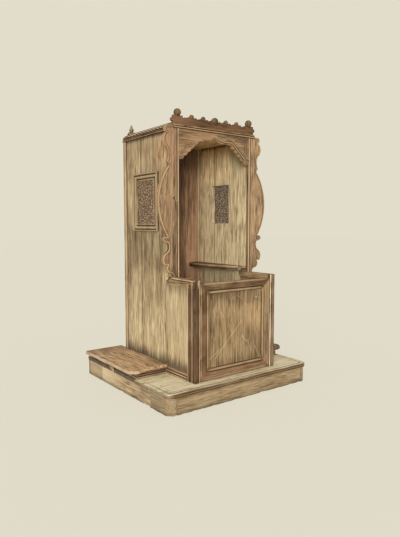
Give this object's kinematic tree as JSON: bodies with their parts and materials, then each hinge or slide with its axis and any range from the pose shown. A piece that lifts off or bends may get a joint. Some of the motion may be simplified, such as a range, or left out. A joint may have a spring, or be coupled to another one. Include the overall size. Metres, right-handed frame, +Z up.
{
  "type": "confessional booth",
  "caption": "Old wooden confessional booth on a low platform: half door, scrolled wings, arched valance and crest, pierced speaking grilles and side kneelers.",
  "frame": {"origin": "on the floor, under the middle of the platform", "axes": "+Z up, +X across the front to the right as seen from the front, +Y from the front to the back"},
  "size_m": [1.476, 1.29, 2.13],
  "materials": {
    "wood_tan": "weathered, matt, streaked along the grain",
    "wood_brown": "dark stain, rubbed at the edges",
    "wood_pale": "bare, worn pale by feet",
    "wood_russet": "reddish stain, worn by knees",
    "iron": "forged, dark, dull",
    "pierced_tin": "dark brown paint on pierced sheet"
  },
  "bodies": {
    "booth": {"fascia_front": "wood_tan", "fascia_rear": "wood_tan", "fascia_left": "wood_tan", "fascia_right": "wood_tan", "corner_block_left": "wood_tan", "corner_block_right": "wood_tan", "platform_bearer": "wood_tan", "deck_front": "wood_pale", "deck_rear": "wood_pale", "kneeler_board_left": "wood_russet", "kneeler_board_right": "wood_russet", "kneeler_riser_left": "wood_russet", "kneeler_riser_right": "wood_russet", "kneeler_strut_left": "wood_russet", "kneeler_strut_right": "wood_russet", "rear_post_left": "wood_tan", "rear_post_right": "wood_tan", "side_rear_board_left": "wood_tan", "side_rear_board_right": "wood_tan", "side_front_board_left": "wood_tan", "side_front_board_right": "wood_tan", "lower_side_board_left": "wood_tan", "lower_side_board_right": "wood_tan", "corner_post_left": "wood_brown", "corner_post_right": "wood_brown", "ledge_cap_left": "wood_brown", "ledge_cap_right": "wood_brown", "grille_frame_left": "wood_tan", "grille_frame_right": "wood_tan", "grille_plate_left": "pierced_tin", "grille_plate_right": "pierced_tin", "back_panel": "wood_brown", "roof_boards": "wood_tan", "cornice_left": "wood_brown", "cornice_right": "wood_brown", "cornice_rear": "wood_brown", "finial_left": "wood_brown", "finial_right": "wood_brown", "wing_left": "wood_tan", "wing_right": "wood_tan", "arch_valance": "wood_tan", "header_moulding": "wood_brown", "crest": "wood_brown", "arm_shelf_left": "wood_brown", "arm_shelf_right": "wood_brown", "seat_board": "wood_brown", "seat_front": "wood_brown", "seat_cleat": "wood_brown", "hinge_lower_fixed_leaf": "iron", "hinge_upper_fixed_leaf": "iron"},
    "door": {"door_stile_left": "wood_brown", "door_stile_right": "wood_brown", "door_rail_top": "wood_brown", "door_rail_bottom": "wood_brown", "door_panel": "wood_tan", "hinge_lower_door_leaf": "iron", "hinge_upper_door_leaf": "iron"},
    "latch": {"latch_knob": "iron", "latch_bar": "wood_brown"}
  },
  "joints": [
    {"name": "door_swing", "type": "hinge", "parent": "booth", "child": "door", "pos_m": [-0.3445, -0.545, 0.515], "axis": [0, 0, -1], "range_deg": [0, 100]},
    {"name": "latch_turn", "type": "hinge", "parent": "door", "child": "latch", "pos_m": [0.218, -0.517, 0.725], "axis": [0, -1, 0], "range_deg": [0, 90]}
  ]
}
